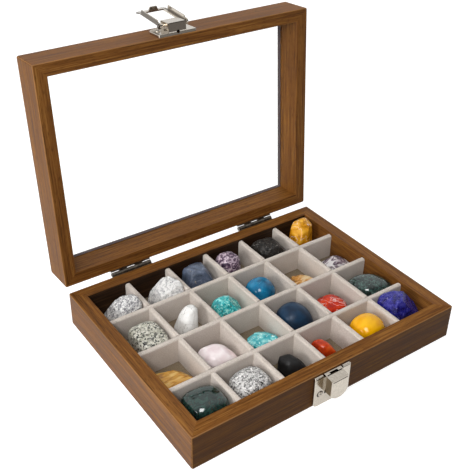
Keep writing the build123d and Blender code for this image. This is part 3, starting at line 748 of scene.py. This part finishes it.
# Basalt tumbled without a polish: matt black with a blunt sheen.
stone(
    "stone_r4c3_black_basalt",
    mineral(
        "matt_black_basalt", [(0.35, "#0e0d0d"), (0.65, "#1b1a1a")], 3.0,
        rough=0.5, relief_mm=0.01, shine=0.25,
    ),
    seed=43, plan=6.0, side=3.4, lump=0.03, lump_mm=12, soft=0.2, slant=0.25, top=0.6,
    lean=(-0.5, 0.9), cuts=[(0.6, -0.4, 0.68, 0.78), (-0.7, 0.7, 0.0, 1.0)],
)
# Tumbled carnelian: clouds of brick red and orange with a waxy gloss.
stone(
    "stone_r4c4_carnelian",
    mineral(
        "tumbled_carnelian", [(0.35, "#8f2208"), (0.5, "#bd3b10"), (0.7, "#d85c24")], 6.0,
        rough=0.2, relief_mm=0.004, shine=0.3,
    ),
    seed=44, plan=3.0, side=3.0, lump=0.04, lump_mm=9, soft=0.2, slant=0.2, top=0.5,
    lean=(-0.7, 0.5), cuts=[(0.8, -0.2, 0.55, 0.6)],
)
# Polished yellow jade: one warm yellow all over, with a small bright highlight.
stone(
    "stone_r4c5_yellow_jade",
    mineral(
        "polished_yellow_jade", [(0.35, "#e29a01"), (0.6, "#f2b507")], 8.0,
        rough=0.12, relief_mm=0.002, shine=0.3,
    ),
    seed=45, plan=2.3, side=2.3, lump=0.015, lump_mm=14, soft=0.3,
)
# Broken lapis: violet blue with crisp faces, fine pale veins and a few pale flecks.
stone(
    "stone_r4c6_lapis",
    mineral(
        "broken_lapis", [(0.35, "#141150"), (0.5, "#242282"), (0.7, "#4443a0")], 3.0,
        rough=0.26, relief_mm=0.08, specks=[("#b3aec8", 1.0, 0.7)],
        veins=[("#7f7bbd", 7.0, 0.004)], shine=0.35,
    ),
    seed=46, plan=6.0, side=6.0, lump=0.03, lump_mm=8, soft=0.0, slant=0.12, top=0.9,
    lean=(-0.8, 1.0),
    cuts=[(0.55, -0.45, 0.7, 0.74), (-0.2, -0.9, 0.35, 0.9), (-0.8, -0.2, 0.3, 1.0)], chips=6,
)

# --- floor and surroundings ---
# A white sweep under and behind the box. It shows white to the camera and in the metal and glass,
# and its plain half still takes the box's soft shadow.
white = linear("#ffffff")
sweep_half_width, glow_when_seen = 4.0, 0.75


def seen(tree, path):
    """1 where a ray looks at the surroundings, straight or by way of metal or glass, and 0 where
    they only give light."""
    looked_at = 0.0
    for ray in ("Is Camera Ray", "Is Glossy Ray", "Is Transmission Ray"):
        looked_at = add_node(
            tree, "Math", {0: looked_at, 1: path.outputs[ray]}, operation="ADD", use_clamp=True
        ).outputs[0]
    return looked_at


floor_mesh = bpy.data.meshes.new("floor")
bm = bmesh.new()
bmesh.ops.create_grid(bm, x_segments=1, y_segments=1, size=sweep_half_width)
bm.to_mesh(floor_mesh)
bm.free()
floor = bpy.data.objects.new("floor", floor_mesh)
bpy.context.scene.collection.objects.link(floor)
sweep = bpy.data.materials.new("white_paper_sweep")
sweep.use_nodes = True
tree = sweep.node_tree
looked_at = seen(tree, add_node(tree, "LightPath"))
lift = add_node(tree, "Math", {0: looked_at, 1: glow_when_seen}, operation="MULTIPLY").outputs[0]
paper = add_node(tree, "BsdfDiffuse", {"Color": linear("#c8c8c8")}).outputs[0]
glow = add_node(tree, "Emission", {"Color": white, "Strength": lift}).outputs[0]
both = add_node(tree, "AddShader", {0: paper, 1: glow})
tree.links.new(both.outputs[0], tree.nodes["Material Output"].inputs["Surface"])
floor_mesh.materials.append(sweep)

# The room is white where it is looked at. Reflections see the white sweep behind and the dimmer
# room on the camera's side, and so does the plain light, a little.
world = bpy.data.worlds.new("white_studio")
bpy.context.scene.world = world
world.use_nodes = True
tree = world.node_tree
sweep_side = Vector((0.3, 0.85, 0.25)).normalized()
path = add_node(tree, "LightPath")
looked_at = seen(tree, path)
way = add_node(tree, "TexCoord").outputs["Generated"]
facing = add_node(tree, "VectorMath", {0: way, 1: sweep_side}, operation="DOT_PRODUCT")
plain, mirrored = (
    add_node(
        tree,
        "MapRange",
        {
            "Value": facing.outputs["Value"],
            "From Min": camera_side,
            "From Max": far_side,
            "To Min": dim,
            "To Max": bright,
        },
    ).outputs["Result"]
    for camera_side, far_side, dim, bright in ((-0.6, 0.5, 0.2, 0.4), (-0.4, 0.35, 0.12, 1.0))
)
in_gloss = path.outputs["Is Glossy Ray"]
shown = add_node(tree, "Mix", {0: in_gloss, 2: 1.0, 3: mirrored}, data_type="FLOAT").outputs[0]
strength = add_node(tree, "Mix", {0: looked_at, 2: plain, 3: shown}, data_type="FLOAT")
background = tree.nodes["Background"]
background.inputs["Color"].default_value = white
tree.links.new(strength.outputs[0], background.inputs["Strength"])

# --- lamps ---
# A soft box low on the left, a small one beside the camera, and a larger one overhead and a little
# behind, so the front of the box stays in soft shade. A square catch light shows only as the small
# white highlight in the polish.
box_middle = (cad_box[0] + cad_box[1]) / 2


def soft_box(name, towards, away, side, watts, in_polish=True, on_surfaces=True):
    """A square area lamp in the given direction from the box, facing it. Shadow rays already bring
    it through the glass, so other rays that pass the glass don't meet it again."""
    lamp = bpy.data.lights.new(name, "AREA")
    lamp.size = side
    lamp.energy = watts
    holder = bpy.data.objects.new(name, lamp)
    bpy.context.scene.collection.objects.link(holder)
    way = Vector(towards).normalized()
    holder.location = box_middle + way * away
    holder.rotation_mode = "QUATERNION"
    holder.rotation_quaternion = way.to_track_quat("Z", "Y")
    holder.visible_transmission = False
    holder.visible_glossy = in_polish
    holder.visible_diffuse = on_surfaces


soft_box("left_soft_box", (-0.95, -0.15, 0.3), away=1.1, side=0.36, watts=5.8)
soft_box(
    "camera_side_soft_box", (-0.55, -0.62, 0.56), away=0.9, side=0.28, watts=3.2, in_polish=False
)
soft_box("catch_light", (-0.45, -0.6, 0.9), away=0.9, side=0.4, watts=6.5, on_surfaces=False)
soft_box("top_soft_box", (-0.1, 0.35, 1.0), away=1.3, side=1.2, watts=7.7, in_polish=False)

# --- camera ---
# Where the photograph was taken from, fitted to the edges of the box: 36 degrees round to the left
# of the front and 33 degrees above it, with a longer lens.
camera_place = (-0.2535, -0.3260, 0.3456)
azimuth, elevation, roll = math.radians(35.948), math.radians(32.573), math.radians(1.340)
focal_px, centre_px, frame_px = 800.9, (240.6, 224.7), 470
ahead = Vector(
    (
        math.sin(azimuth) * math.cos(elevation),
        math.cos(azimuth) * math.cos(elevation),
        -math.sin(elevation),
    )
)
level = Vector((math.cos(azimuth), -math.sin(azimuth), 0))
upward = level.cross(ahead)
right = level * math.cos(roll) + upward * math.sin(roll)
top = upward * math.cos(roll) - level * math.sin(roll)
lens = bpy.data.cameras.new("camera")
lens.sensor_width = 36.0
lens.lens = focal_px / frame_px * lens.sensor_width
lens.shift_x = 0.5 - centre_px[0] / frame_px
lens.shift_y = centre_px[1] / frame_px - 0.5
camera = bpy.data.objects.new("camera", lens)
bpy.context.scene.collection.objects.link(camera)
camera.matrix_world = (
    Matrix.Translation(camera_place) @ Matrix((right, top, -ahead)).transposed().to_4x4()
)
bpy.context.scene.camera = camera
bpy.context.scene.view_settings.view_transform = "Standard"
